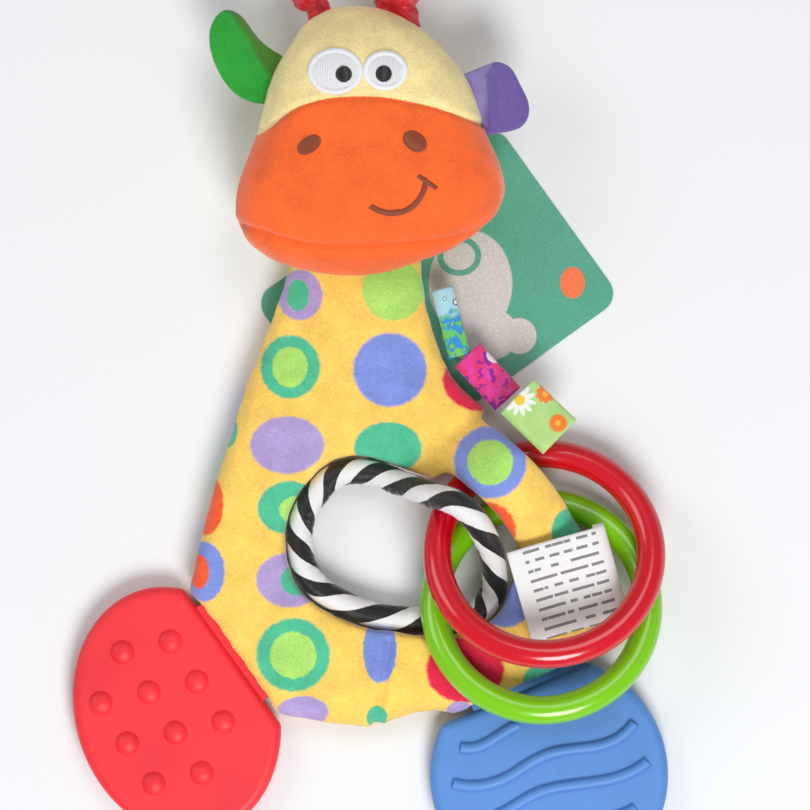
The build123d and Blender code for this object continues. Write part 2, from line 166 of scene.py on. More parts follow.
def joined_copy(name, node_names, voxel):
    """One closed skin round copies of the named solids."""
    shape = bmesh.new()
    for node in node_names:
        shape.from_mesh(nodes[node].data)
    bmesh.ops.remove_doubles(shape, verts=shape.verts, dist=1e-6)
    piece = new_piece(name, shape)
    fuse(piece, voxel)
    return piece


def fuse(piece, voxel):
    """Turns closed shapes that cross each other into one outer skin."""
    remesh = piece.modifiers.new("skin", "REMESH")
    remesh.mode = "VOXEL"
    remesh.voxel_size = voxel
    apply_modifiers(piece)
    keep_outer_skin(piece)


def apply_modifiers(piece):
    made = bpy.data.meshes.new_from_object(piece.evaluated_get(bpy.context.evaluated_depsgraph_get()))
    piece.modifiers.clear()
    piece.data = made
    made.name = piece.name


def keep_outer_skin(piece):
    """Drops the closed skins that lie inside the largest one."""
    shape = bmesh.new()
    shape.from_mesh(piece.data)
    left, shells = set(shape.verts), []
    while left:
        shell, edge = set(), [left.pop()]
        while edge:
            vert = edge.pop()
            shell.add(vert)
            for near in (e.other_vert(vert) for e in vert.link_edges):
                if near in left:
                    left.discard(near)
                    edge.append(near)
        shells.append(shell)
    biggest = max(shells, key=len)
    spare = [v for shell in shells if shell is not biggest for v in shell]
    bmesh.ops.delete(shape, geom=spare, context="VERTS")
    shape.to_mesh(piece.data)
    shape.free()


def relax(piece, times, factor=0.5):
    shape = bmesh.new()
    shape.from_mesh(piece.data)
    for _ in range(times):
        bmesh.ops.smooth_vert(shape, verts=shape.verts, factor=factor,
                              use_axis_x=True, use_axis_y=True, use_axis_z=True)
    shape.to_mesh(piece.data)
    shape.free()


def press_out(piece, slack, swell, pressure=4.0, frames=16):
    """Lets the fill press a slightly smaller skin outwards as cloth, by no more than swell."""
    start = [v.co - v.normal * slack for v in piece.data.vertices]
    for vert, place in zip(piece.data.vertices, start):
        vert.co = place
    cloth = piece.modifiers.new("fill", "CLOTH")
    cloth.settings.use_pressure = True
    cloth.settings.uniform_pressure_force = pressure
    cloth.settings.effector_weights.gravity = 0
    cloth.settings.quality = 4
    cloth.settings.tension_stiffness = 30
    cloth.collision_settings.use_collision = False
    cloth.point_cache.frame_end = frames
    for step in range(1, frames + 1):
        bpy.context.scene.frame_set(step)
    apply_modifiers(piece)
    for vert, place in zip(piece.data.vertices, start):
        moved = vert.co - place
        if moved.length > swell:
            vert.co = place + moved * (swell / moved.length)
    bpy.context.scene.frame_set(1)


def subdivide(piece, levels=1):
    rounder = piece.modifiers.new("rounder", "SUBSURF")
    rounder.levels = levels
    rounder.render_levels = levels
    apply_modifiers(piece)


def shade_smooth(piece):
    piece.data.polygons.foreach_set("use_smooth", [True] * len(piece.data.polygons))
    piece.data.update()


def bell(away, width):
    """1 at no distance, falling smoothly to nothing past the width."""
    return math.exp(-(away / width) ** 2)


def run_distance(place, run):
    """How far a place is from a run of points seen from above, and on which side, in metres."""
    best, side = 1.0, 1.0
    for first, last in zip(run, run[1:]):
        a, b = Vector(first) * mm, Vector(last) * mm
        along = b - a
        share = max(0.0, min(1.0, (place.xy - a).dot(along) / along.length_squared))
        away = place.xy - (a + along * share)
        if away.length < best:
            best, side = away.length, math.copysign(1.0, along.cross(away))
    return best, side


plush_body = joined_copy("plush_body", BODY_NODES, BODY_VOXEL)
relax(plush_body, 6)
press_out(plush_body, BODY_SLACK, BODY_SWELL)
relax(plush_body, 3)
subdivide(plush_body)
for vert, normal in [(v, v.normal.copy()) for v in plush_body.data.vertices]:
    place = vert.co
    shift = 0.0
    # gathers along the outer seam, and soft hollows over the whole panel
    rim = max(0.0, 1 - abs(normal.z)) * bell(place.z - SEAM_HEIGHT, GATHER_BAND)
    groove = bell(place.z - SEAM_HEIGHT, GROOVE_BAND) * (1 if abs(normal.z) < 0.6 else 0)
    shift -= GROOVE_DEPTH * groove
    shift += GATHER_DEPTH * rim * noise.noise(Vector((place.x, place.y, 0)) * 260)
    shift += 0.35 * mm * noise.noise(place * 55) + 0.12 * mm * noise.noise(place * 170)
    if place.z > SEAM_HEIGHT and abs(place.x) < 12 * mm and place.y < -55 * mm:
        away, _ = run_distance(place, DART)
        shift -= DART_DEPTH * bell(away, 0.45 * DART_WIDTH)
        shift += DART_LIP * bell(away - 2.6 * mm, 1.6 * mm)
    vert.co = place + normal * shift
shade_smooth(plush_body)
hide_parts(*BODY_NODES)
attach(plush_body, "torso")

YELLOW = (0.955, 0.62, 0.115)
PURPLE, LIME = (0.42, 0.32, 0.62), (0.40, 0.73, 0.14)
TEAL, BLUE = (0.07, 0.50, 0.28), (0.20, 0.28, 0.70)
CRIMSON, ORANGE = (0.78, 0.008, 0.06), (0.95, 0.10, 0.02)
# Each printed spot: middle, half sizes, and colour, from the outer colour to the inner one
SPOTS = (
    ((-20.9, 38.4), (6.6, 7.4), PURPLE), ((-21.5, 38.4), (3.2, 4.6), TEAL),
    ((6.8, 39.9), (9.0, 9.0), LIME),
    ((-23.8, 17.0), (8.7, 9.3), TEAL), ((-23.8, 17.0), (5.2, 6.0), LIME),
    ((5.9, 16.1), (10.8, 10.8), BLUE),
    ((-24.7, -6.2), (10.8, 8.4), PURPLE),
    ((5.3, -7.1), (9.9, 7.6), TEAL),
    ((35.5, -11.2), (10.5, 10.5), BLUE), ((35.5, -11.2), (6.6, 6.6), LIME),
    ((32.6, 13.1), (10.8, 9.0), CRIMSON),
    ((-23.8, -24.9), (9.6, 7.8), TEAL), ((-22.0, -25.5), (5.0, 4.0), LIME),
    ((-49.1, -24.0), (5.4, 9.0), ORANGE),
    ((-43.2, -1.7), (3.6, 5.4), TEAL),
    ((-23.8, -46.3), (9.9, 8.0), PURPLE), ((-21.5, -46.3), (5.0, 4.6), TEAL),
    ((-49.7, -43.9), (6.4, 8.8), BLUE), ((-51.0, -43.9), (3.0, 5.0), ORANGE),
    ((-22.9, -68.6), (10.8, 10.8), TEAL), ((-22.9, -68.6), (6.8, 6.8), LIME),
    ((-20.0, -85.5), (7.5, 4.6), PURPLE),
    ((2.9, -67.1), (4.9, 9.6), BLUE),
    ((28.2, -73.1), (11.4, 9.6), CRIMSON),
    ((34.1, -31.5), (9.0, 8.4), ORANGE),
    ((60.9, -31.5), (7.0, 7.0), TEAL),
    ((40.1, -52.3), (8.0, 8.0), BLUE),
    ((53.5, -76.0), (8.0, 5.0), TEAL),
    ((2.0, -87.3), (3.0, 3.6), TEAL), ((26.7, -85.5), (4.0, 3.0), PURPLE),
)
BACK_SHIFT = (17.0 * mm, -11.0 * mm, 0)


def pile(add, links, surface, place):
    """The short pile of velour: lighter and darker tufts, and a brushed nap."""
    tufts = add("TexNoise", {"Vector": place, "Scale": 1500, "Detail": 3.0, "Roughness": 0.65})
    nap = add("TexNoise", {"Vector": place, "Scale": 120, "Detail": 3.0, "Roughness": 0.6})
    both = maths(add, "ADD", tufts.outputs["Fac"], nap.outputs["Fac"])
    add_bump(add, links, surface, both, 0.35 * mm, 0.55)
    shade = add("MapRange", {"Value": both, "From Min": 0.62, "From Max": 1.38,
                             "To Min": 0.74, "To Max": 1.20})
    return shade.outputs[0]


def shaded(add, colour, shade):
    """A colour made lighter or darker by a shade."""
    scaled = add("VectorMath", operation="SCALE")
    links = scaled.id_data.links
    links.new(shade, scaled.inputs["Scale"])
    if isinstance(colour, bpy.types.NodeSocket):
        links.new(colour, scaled.inputs[0])
    else:
        scaled.inputs[0].default_value = colour
    return scaled.outputs[0]


velour, surface, add, links = shader("spotted_velour", 0.85, sheen=0.35)
place = add("TexCoord").outputs["Object"]
height = add("SeparateXYZ", {0: place}).outputs["Z"]
is_back = maths(add, "LESS_THAN", height, SEAM_HEIGHT)
moved = add("VectorMath", {0: place, 1: BACK_SHIFT}, operation="ADD").outputs[0]
printed_place = add("Mix", data_type="VECTOR")
links.new(is_back, printed_place.inputs[0])
links.new(place, printed_place.inputs[4])
links.new(moved, printed_place.inputs[5])
wander = add("TexNoise", {"Vector": place, "Scale": 650, "Detail": 2.0})
wander_centred = add("VectorMath", {0: wander.outputs["Color"], 1: (0.5, 0.5, 0.5)}, operation="SUBTRACT")
wander_small = add("VectorMath", {0: wander_centred.outputs[0], "Scale": 1.0 * mm}, operation="SCALE")
print_place = add("VectorMath", {0: printed_place.outputs[1], 1: wander_small.outputs[0]},
                  operation="ADD").outputs[0]
printed = YELLOW
for middle, half, colour in SPOTS:
    inner = add("Mapping", {"Vector": print_place, "Location": (middle[0] * mm, middle[1] * mm, 0),
                            "Scale": (half[0] * mm, half[1] * mm, 1e6)}, vector_type="TEXTURE")
    reach = add("VectorMath", {0: inner.outputs[0]}, operation="LENGTH").outputs["Value"]
    ink = add("MapRange", {"Value": reach, "From Min": 1.06, "From Max": 0.97, "To Min": 0.0, "To Max": 1.0})
    printed = blend_colours(add, ink.outputs[0], printed, colour)
links.new(shaded(add, printed, pile(add, links, surface, place)), surface.inputs["Base Color"])
give_material(plush_body, velour)

# ---------------------------------------------------------------- the padded binding round the hand hole
# A tube of black and white satin, cut on the bias and filled, sewn round the hole with a
# narrow black edge. The satin puckers where it turns inside the curve.
HOLE_ROUTE = (
    (-21.0, -36.5, 0), (-20.3, -28.5, 0), (-16.2, -20.8, 0), (-9.0, -14.8, 0), (0.5, -14.6, 0.8),
    (9.5, -17.7, 5.0), (18.5, -20.8, 14.5), (27.0, -24.2, 20.4), (33.6, -32.2, 15.0), (36.8, -42.0, 5.6),
    (36.2, -51.0, -1.0), (30.5, -57.0, -2.4), (18.0, -58.3, -2.4), (4.0, -57.6, -1.0), (-9.0, -53.0, 0),
    (-17.5, -46.5, 0),
)
BINDING_R = 3.9 * mm
STRIPES = 12
STRIPE_TURNS = -2


def smooth_route(points, closed):
    """Close places along one smooth curve through the points."""
    line = bpy.data.curves.new("route", "CURVE")
    line.dimensions = "3D"
    line.resolution_u = 24
    spline = line.splines.new("BEZIER")
    spline.bezier_points.add(len(points) - 1)
    for knot, point in zip(spline.bezier_points, points):
        knot.co = point
        knot.handle_left_type = knot.handle_right_type = "AUTO"
    spline.use_cyclic_u = closed
    holder = bpy.data.objects.new("route", line)
    bpy.context.scene.collection.objects.link(holder)
    bpy.context.view_layer.update()
    read = bpy.data.meshes.new_from_object(holder.evaluated_get(bpy.context.evaluated_depsgraph_get()))
    places = [v.co.copy() for v in read.vertices]
    bpy.data.objects.remove(holder)
    return places


def flat_route(points):
    """The places of an open curve through points given in millimetres, seen from above."""
    return smooth_route([(x * mm, y * mm, 0) for x, y in points], False)


def cap_and_join(shape, rings, closed=False):
    """Faces between rings of vertices, joined up at the end or capped at both ends."""
    for first, second in list(zip(rings, rings[1:])) + ([(rings[-1], rings[0])] if closed else []):
        for k, vert in enumerate(first):
            n = (k + 1) % len(first)
            shape.faces.new((vert, first[n], second[n], second[k]))
    if not closed:
        shape.faces.new(reversed(rings[0]))
        shape.faces.new(rings[-1])


def swept_tube(name, places, radius_at, sides, closed):
    """Rings of a tube along places, bridged; each vertex knows its share of the run and its turn."""
    shape = bmesh.new()
    share_layer = shape.verts.layers.float.new("along")
    turn_layer = shape.verts.layers.float.new("turn")
    count = len(places)
    rings = []
    for i, place in enumerate(places):
        before = places[i - 1] if (i or closed) else place
        after = places[(i + 1) % count] if (i < count - 1 or closed) else place
        ahead = (after - before).normalized()
        across = ahead.cross(Vector((0, 0, 1))).normalized()
        up = across.cross(ahead)
        turned = Matrix((across, up, ahead)).transposed().to_4x4()
        turned.translation = place
        ring = bmesh.ops.create_circle(shape, segments=sides, radius=1.0)["verts"]
        for k, vert in enumerate(ring):
            turn = 2 * math.pi * k / sides
            reach = radius_at(i / count, turn)
            vert[share_layer] = i / count
            vert[turn_layer] = turn
            vert.co = turned @ Vector((reach * math.cos(turn), reach * math.sin(turn), 0))
        rings.append(ring)
    cap_and_join(shape, rings, closed)
    bmesh.ops.recalc_face_normals(shape, faces=shape.faces)
    piece = new_piece(name, shape)
    shade_smooth(piece)
    return piece


def stripe_wave(share, turn):
    return math.cos(2 * math.pi * STRIPES * share + STRIPE_TURNS * turn)


def binding_radius(share, turn):
    wave = abs(stripe_wave(share, turn))
    pucker = noise.noise(Vector((math.cos(turn) * 2, math.sin(turn) * 2, share * 150)))
    return BINDING_R - 0.14 * mm * (1 - wave) + 0.22 * mm * pucker * (0.35 + max(0.0, math.cos(turn)))


hole_places = smooth_route([(x * mm, y * mm, SEAM_HEIGHT + rise * mm) for x, y, rise in HOLE_ROUTE], True)
grip = swept_tube("hand_hole_binding", hole_places, binding_radius, 40, True)
stripe = grip.data.attributes.new("stripe", "FLOAT", "POINT")
outer = grip.data.attributes.new("outer_edge", "FLOAT", "POINT")
for i, vert in enumerate(grip.data.vertices):
    share = grip.data.attributes["along"].data[i].value
    turn = grip.data.attributes["turn"].data[i].value
    stripe.data[i].value = stripe_wave(share, turn)
    outer.data[i].value = math.cos(turn - math.pi)
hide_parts("grip_binding")
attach(grip, "torso")

satin, surface, add, links = shader("striped_satin", 0.42, sheen=0.25)
place = add("TexCoord").outputs["Object"]
wave = add("Attribute", attribute_name="stripe").outputs["Fac"]
ragged = add("TexNoise", {"Vector": place, "Scale": 900, "Detail": 2.0})
edge = maths(add, "MULTIPLY_ADD", ragged.outputs["Fac"], 0.16, wave)
white_share = add("MapRange", {"Value": edge, "From Min": 0.03, "From Max": 0.13})
rim = add("Attribute", attribute_name="outer_edge").outputs["Fac"]
on_rim = add("MapRange", {"Value": rim, "From Min": 0.93, "From Max": 0.96})
creases = add("TexNoise", {"Vector": place, "Scale": 260, "Detail": 4.0, "Roughness": 0.6})
weave = add("TexWave", {"Vector": place, "Scale": 900, "Distortion": 1.0, "Detail": 1.0})
both = maths(add, "MULTIPLY_ADD", weave.outputs["Fac"], 0.25, creases.outputs["Fac"])
add_bump(add, links, surface, both, 0.5 * mm, 0.5)
striped = blend_colours(add, white_share.outputs[0], (0.004, 0.004, 0.005), (0.80, 0.79, 0.79))
edged = blend_colours(add, on_rim.outputs[0], striped, (0.006, 0.006, 0.007))
links.new(edged, surface.inputs["Base Color"])
give_material(grip, satin)

# ---------------------------------------------------------------- the head
# A round stuffed cushion of velour: a pale brow and back, an orange muzzle and jaw, sewn
# together along two curved seams that sink into the fill.
HEAD_NODES = ("head_back_panel", "head_brow_panel", "jaw_panel", "muzzle_panel", "head_stuffing")
HEAD_VOXEL = 1.6 * mm
BROW_SEAM = ((-60, 82), (-33.2, 85.8), (-20.6, 93.1), (-3, 95.8), (14.8, 93.7), (32.4, 88.7), (60, 80))
MOUTH_SEAM = ((-60, 64), (-37, 58.1), (-20.3, 52.8), (1.2, 52.2), (24.8, 54.6), (60, 66))
HEAD_MID_Z = 21.0 * mm
BROW_DEPTH, MOUTH_DEPTH, RIM_DEPTH = 0.9 * mm, 1.5 * mm, 0.6 * mm
SEAM_SINK, LIP_RISE = 0.8 * mm, 0.4 * mm
PALE_YELLOW, MUZZLE_ORANGE = (0.93, 0.76, 0.34), (0.96, 0.13, 0.012)


def seam_reader(points):
    """Gives how far a place is above a seam that runs across the face, in metres."""
    line = [place.xy for place in flat_route(points)]
    across = [place.x for place in line]

    def above(place):
        k = min(max(bisect.bisect(across, place.x), 1), len(line) - 1)
        before, after = line[k - 1], line[k]
        run = after - before
        rise = before.y + run.y * (place.x - before.x) / run.x
        return (place.y - rise) * run.x / run.length

    return above


head_cover = joined_copy("head_cover", HEAD_NODES, HEAD_VOXEL)
relax(head_cover, 8)
subdivide(head_cover)
above_brow, above_mouth = seam_reader(BROW_SEAM), seam_reader(MOUTH_SEAM)
seam_side = head_cover.data.attributes.new("above_brow_seam", "FLOAT", "POINT")
head_normals = [vert.normal.copy() for vert in head_cover.data.vertices]
for i, (vert, normal) in enumerate(zip(head_cover.data.vertices, head_normals)):
    place = vert.co.copy()
    yellow_side = above_brow(place)
    brow_away, mouth_away = abs(yellow_side), abs(above_mouth(place))
    front = max(0.0, min(1.0, (place.z - HEAD_MID_Z) / (1.5 * mm)))
    rim_away = abs(place.z - HEAD_MID_Z)
    shift = -BROW_DEPTH * bell(brow_away, SEAM_SINK) * front
    shift -= MOUTH_DEPTH * bell(mouth_away, SEAM_SINK) * front
    shift += LIP_RISE * bell(mouth_away - 3 * mm, 1.6 * mm) * front
    shift -= RIM_DEPTH * bell(rim_away, SEAM_SINK) * (1 - abs(normal.z))
    gathers = noise.noise(Vector((place.x * 230, place.y * 60, 3)))
    shift += 0.30 * mm * gathers * bell(mouth_away, 5 * mm) * front
    shift += 0.30 * mm * noise.noise(place * 45)
    vert.co = place + normal * shift
    if place.z < HEAD_MID_Z:
        yellow_side = max(yellow_side, HEAD_MID_Z - 1.5 * mm - place.z)
    seam_side.data[i].value = yellow_side / mm
shade_smooth(head_cover)
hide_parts(*HEAD_NODES)
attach(head_cover, "head")

face_velour, surface, add, links = shader("face_velour", 0.85, sheen=0.35)
place = add("TexCoord").outputs["Object"]
side = add("Attribute", attribute_name="above_brow_seam").outputs["Fac"]
fray = add("TexNoise", {"Vector": place, "Scale": 1400, "Detail": 2.0})
edge = maths(add, "MULTIPLY_ADD", fray.outputs["Fac"], 0.5, side)
yellow_share = add("MapRange", {"Value": edge, "From Min": 0.15, "From Max": 0.40})
two_panels = blend_colours(add, yellow_share.outputs[0], MUZZLE_ORANGE, PALE_YELLOW)
links.new(shaded(add, two_panels, pile(add, links, surface, place)), surface.inputs["Base Color"])
give_material(head_cover, face_velour)

# ---------------------------------------------------------------- the embroidered face
# Eyes, nostrils and a smile of satin stitch: close parallel threads over the velour, and
# round each patch a raised border of short threads laid across its edge.
THREAD_R = 0.30 * mm
THREAD_SIDES = 6
# Along one thread: share of its length, height of its middle and thickness, both in radii
THREAD_STEPS = ((0.0, -0.5, 0.55), (0.12, 0.35, 0.95), (0.5, 0.6, 1.0), (0.88, 0.35, 0.95), (1.0, -0.5, 0.55))
EYES = (
    ("left", (-10, 103.2), (7.8, 6.6), (-7.5, 102.2)),
    ("right", (4.6, 103.4), (6.2, 5.6), (4.1, 102.3)),
)
PUPIL_R = 2.3
NOSTRILS = (("left", (-17.6, 81.6), (3.6, 2.2), 35), ("right", (13.2, 82.6), (3.6, 2.6), -35))
SMILE = ((0.1, 63.8), (3.0, 62.4), (6.8, 61.8), (11.8, 63.2), (15.3, 67.3), (16.7, 71.4))
DIMPLE = ((14.0, 72.8), (19.4, 69.1))

head_shape = bmesh.new()
head_shape.from_mesh(head_cover.data)
face = BVHTree.FromBMesh(head_shape)
head_shape.free()


def thread_material(name, colour, roughness=0.5):
    material, surface, add, links = shader(name, roughness, sheen=0.4)
    place = add("TexCoord").outputs["Object"]
    fibres = add("TexNoise", {"Vector": place, "Scale": 2600, "Detail": 2.0})
    shade = add("MapRange", {"Value": fibres.outputs["Fac"], "To Min": 0.82, "To Max": 1.12})
    links.new(shaded(add, colour, shade.outputs[0]), surface.inputs["Base Color"])
    add_bump(add, links, surface, fibres.outputs["Fac"], 0.08 * mm, 0.6)
    return material


def embroidery(name, threads, lift, material, cad_nodes):
    """Short threads, each sinking into the face at both its ends."""
    shape = bmesh.new()
    for start, end, radius in threads:
        rings = []
        for share, depth, thick in THREAD_STEPS:
            x, y = (start[k] + (end[k] - start[k]) * share for k in (0, 1))
            hit, normal, _, _ = face.ray_cast(Vector((x * mm, y * mm, 0.1)), Vector((0, 0, -1)))
            centre = hit + normal * (lift * mm + depth * radius)
            ahead = Vector((end[0] - start[0], end[1] - start[1], 0)).normalized()
            across = ahead.cross(normal).normalized()
            turned = Matrix((across, normal, across.cross(normal))).transposed().to_4x4()
            turned.translation = centre
            ring = bmesh.ops.create_circle(shape, segments=THREAD_SIDES, radius=radius * thick, matrix=turned)
            rings.append(ring["verts"])
        cap_and_join(shape, rings)
    bmesh.ops.recalc_face_normals(shape, faces=shape.faces)
    piece = new_piece(name, shape)
    shade_smooth(piece)
    give_material(piece, material)
    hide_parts(*cad_nodes)
    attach(piece, "head")


def filled_oval(centre, half, turn, pitch, radius, upright=True):
    """Threads side by side across an oval."""
    threads, c, s = [], math.cos(math.radians(turn)), math.sin(math.radians(turn))
    span = half[0] if upright else half[1]
    count = int(2 * span / pitch)
    for i in range(count):
        u = 2 * (i + 0.5) / count - 1
        v = math.sqrt(1 - u * u)
        ends = []
        for sign in (-1, 1):
            x, y = (u * half[0], sign * v * half[1]) if upright else (sign * v * half[0], u * half[1])
            ends.append((centre[0] + x * c - y * s, centre[1] + x * s + y * c))
        if v * span > 0.4:
            threads.append((ends[0], ends[1], radius))
    return threads


def border(centre, half, turn, width, count, radius):
    """Threads laid across the edge of an oval, all the way round."""
    threads, c, s = [], math.cos(math.radians(turn)), math.sin(math.radians(turn))
    for i in range(count):
        angle = 2 * math.pi * i / count
        ends = []
        for reach in (-width / 2, width / 2):
            x, y = (half[0] + reach) * math.cos(angle), (half[1] + reach) * math.sin(angle)
            ends.append((centre[0] + x * c - y * s, centre[1] + x * s + y * c))
        threads.append((ends[0], ends[1], radius))
    return threads


def line_of_stitches(points, width, pitch, lean):
    """Slanted threads laid across a line."""
    places = [Vector(place.xy / mm) for place in flat_route(points)]
    threads, run = [], 0.0
    for before, here in zip(places, places[1:]):
        run += (here - before).length
        if run >= pitch:
            run = 0.0
            along = (here - before).normalized()
            over = Vector((-along.y, along.x)) * (width / 2) + along * lean
            threads.append((tuple(here - over), tuple(here + over), THREAD_R * 1.05))
    return threads


white_thread = thread_material("white_thread", (0.86, 0.86, 0.88), 0.45)
black_thread = thread_material("black_thread", (0.006, 0.006, 0.007), 0.35)
brown_thread = thread_material("brown_thread", (0.27, 0.048, 0.010), 0.45)
for name, centre, half, pupil in EYES:
    white = filled_oval(centre, half, 0, 0.50, THREAD_R * 0.95)
    white += border(centre, (half[0] - 0.5, half[1] - 0.5), 0, 1.7, 92, THREAD_R)
    embroidery("eye_white_" + name, white, 0.15, white_thread, ["eye_patch_" + name])
    black = filled_oval(pupil, (PUPIL_R, PUPIL_R), 0, 0.42, THREAD_R, upright=False)
    black += border(pupil, (PUPIL_R - 0.5, PUPIL_R - 0.5), 0, 1.3, 26, THREAD_R * 0.9)
    embroidery("pupil_" + name + "_stitching", black, 0.45, black_thread, ["pupil_" + name])
for name, centre, half, turn in NOSTRILS:
    brown = filled_oval(centre, half, turn, 0.45, THREAD_R)
    brown += border(centre, (half[0] - 0.3, half[1] - 0.3), turn, 1.1, 34, THREAD_R * 0.9)
    embroidery("nostril_" + name + "_stitching", brown, 0.05, brown_thread,
               ["nostril_" + name])
smile = line_of_stitches(SMILE, 1.7, 0.42, 0.5) + line_of_stitches(DIMPLE, 1.4, 0.42, 0.3)
embroidery("smile_stitches", smile, 0.05, brown_thread, ["smile_stitching"])

# ---------------------------------------------------------------- the ears
# Each ear is two layers of velour sewn round the edge and turned out, pinched into a fold
# where it is caught in the side seam of the head.
# Each ear: colour, colour past the fold with its shading painted in (painted shade on the green ear, painted
# light on the purple one), run of the fold, and the side that lies past it
EARS = (
    ("green", (0.012, 0.33, 0.022), (0.06, 0.22, 0.012),
     ((-43.0, 122.5), (-41.5, 120.3), (-37.2, 114.8), (-34.8, 109.5), (-31.3, 102.9)), 1.0),
    ("purple", (0.145, 0.092, 0.34), (0.30, 0.25, 0.58),
     ((37.9, 107.6), (35.2, 102.7), (36.1, 91.2), (36.5, 86.0)), -1.0),
)
EAR_VOXEL = 0.55 * mm
FOLD_RISE, FOLD_NEAR, FOLD_FAR = 1.9 * mm, 1.3 * mm, 2.2 * mm
CATCH_REACH, CATCH_SINK = 3.5 * mm, 1.2 * mm
for name, colour, painted_fold_shading_colour, run, fold_sign in EARS:
    ear_nodes = ("ear_" + name + "_back", "ear_" + name + "_front")
    ear = joined_copy("ear_" + name + "_velour", ear_nodes, EAR_VOXEL)
    relax(ear, 6)
    fold = ear.data.attributes.new("past_fold", "FLOAT", "POINT")
    for i, vert in enumerate(ear.data.vertices):
        place = vert.co.copy()
        away, side = run_distance(place, run)
        past = away * side * fold_sign
        fold.data[i].value = past / mm
        if past < 0:
            lift = FOLD_RISE * bell(past, FOLD_NEAR) + 0.05 * min(away, 9 * mm)
        else:
            lift = FOLD_RISE * bell(past, FOLD_FAR) - 0.22 * min(past, 8 * mm)
        puff = 0.5 * mm * (1 if place.z > HEAD_MID_Z else -1) * min(1.0, abs(place.z - HEAD_MID_Z) / mm)
        wobble = 0.25 * mm * noise.noise(place * 90)
        caught, _, _, gap = face.find_nearest(place)
        hold = max(0.0, 1 - gap / CATCH_REACH)
        inwards = (caught - place).normalized() * (gap + CATCH_SINK) * hold
        vert.co = place + inwards + Vector((0, 0, (lift + wobble) * (1 - 0.6 * hold) + puff))
    subdivide(ear)
    shade_smooth(ear)
    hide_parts("ear_" + name + "_back", "ear_" + name + "_front")
    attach(ear, "ear_" + name)
    ear_velour, surface, add, links = shader(name + "_velour", 0.85, sheen=0.45)
    place = add("TexCoord").outputs["Object"]
    past = add("Attribute", attribute_name="past_fold").outputs["Fac"]
    # The velour past the fold is painted darker on the green ear and lighter on the purple one: painted shade
    # and painted light where the one velour turns at the fold.
    painted_fold_shading_share = add("MapRange", {"Value": past, "From Min": 0.4, "From Max": 1.6})
    velour_with_painted_fold_shading = blend_colours(add, painted_fold_shading_share.outputs[0], colour, painted_fold_shading_colour)
    links.new(shaded(add, velour_with_painted_fold_shading, pile(add, links, surface, place)), surface.inputs["Base Color"])
    give_material(ear, ear_velour)

# ---------------------------------------------------------------- the horns
# Two lengths of shiny red satin tube, each tied in one tight knot, so that the satin
# crinkles into ridges, and sewn into the top seam of the head.
# Each horn: root, middle of the knot, knot radius, and reach of the tip past the middle
HORNS = (
    ("left", (-15.2, 120.8), (-17.6, 130.0), 6.6, 9.4),
    ("right", (11.2, 118.7), (8.4, 129.2), 8.2, 9.2),
)
HORN_TUBE_R = 3.1
KNOT_STEPS, KNOT_START, KNOT_STEP_ANGLE, KNOT_STEP_REACH = 8, 200, 62, 0.9
HORN_VOXEL = 0.5 * mm
RIDGE_HEIGHT = 0.45 * mm


def horn_radius(share, turn):
    pleat = math.sin(5 * turn + 9 * share)
    crumple = noise.noise(Vector((math.cos(turn), math.sin(turn), share * 40)) * 1.6)
    return HORN_TUBE_R * mm + 0.35 * mm * pleat + 0.35 * mm * crumple


satin_red, surface, add, links = shader("crinkled_red_satin", 0.28, sheen=0.15, coat=0.25)
place = add("TexCoord").outputs["Object"]
crinkle = add("TexNoise", {"Vector": place, "Scale": 420, "Detail": 4.0, "Roughness": 0.6,
                           "Distortion": 0.8})
weave = add("TexWave", {"Vector": place, "Scale": 1300, "Distortion": 2.0, "Detail": 2.0})
both = maths(add, "MULTIPLY_ADD", weave.outputs["Fac"], 0.2, crinkle.outputs["Fac"])
add_bump(add, links, surface, both, 0.9 * mm, 0.7)
# The crinkle noise also paints the satin darker in its hollows and lighter on its ridges: painted shade and
# painted highlight.
shade = add("MapRange", {"Value": crinkle.outputs["Fac"], "From Min": 0.3, "From Max": 0.7,
                         "To Min": 0.55, "To Max": 1.25})
links.new(shaded(add, (0.78, 0.006, 0.022), shade.outputs[0]), surface.inputs["Base Color"])
for name, root, knot, knot_r, tip in HORNS:
    base = Vector((root[0] * mm, root[1] * mm, HEAD_MID_Z))
    middle = Vector((knot[0] * mm, knot[1] * mm, HEAD_MID_Z))
    ahead = (middle - base).normalized()
    across, up = ahead.cross(Vector((0, 0, 1))).normalized(), Vector((0, 0, 1))
    tied = [base - ahead * 2.0 * mm, base + ahead * 3.5 * mm]
    for step in range(KNOT_STEPS):
        angle = math.radians(KNOT_START + KNOT_STEP_ANGLE * step)
        out = (knot_r - HORN_TUBE_R) * mm
        tied.append(middle + across * out * math.cos(angle) + up * out * math.sin(angle)
                    + ahead * (step - (KNOT_STEPS - 1) / 2) * KNOT_STEP_REACH * mm)
    tied += [middle + ahead * (tip - 5.0) * mm, middle + ahead * tip * mm]
    places = smooth_route(tied, False)[::3]
    horn = swept_tube("horn_" + name + "_satin", places, horn_radius, 20, False)
    core = bmesh.new()
    core.from_mesh(horn.data)
    bmesh.ops.create_icosphere(core, subdivisions=4, radius=(knot_r - 1.3) * mm,
                               matrix=Matrix.Translation(middle))
    core.to_mesh(horn.data)
    core.free()
    fuse(horn, HORN_VOXEL)
    relax(horn, 3)
    for vert, normal in [(v, v.normal.copy()) for v in horn.data.vertices]:
        ridge = 1 - abs(noise.noise(vert.co * 330)) * 2
        vert.co = vert.co + normal * RIDGE_HEIGHT * ridge
    shade_smooth(horn)
    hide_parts("horn_" + name)
    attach(horn, "horn_" + name)
    give_material(horn, satin_red)

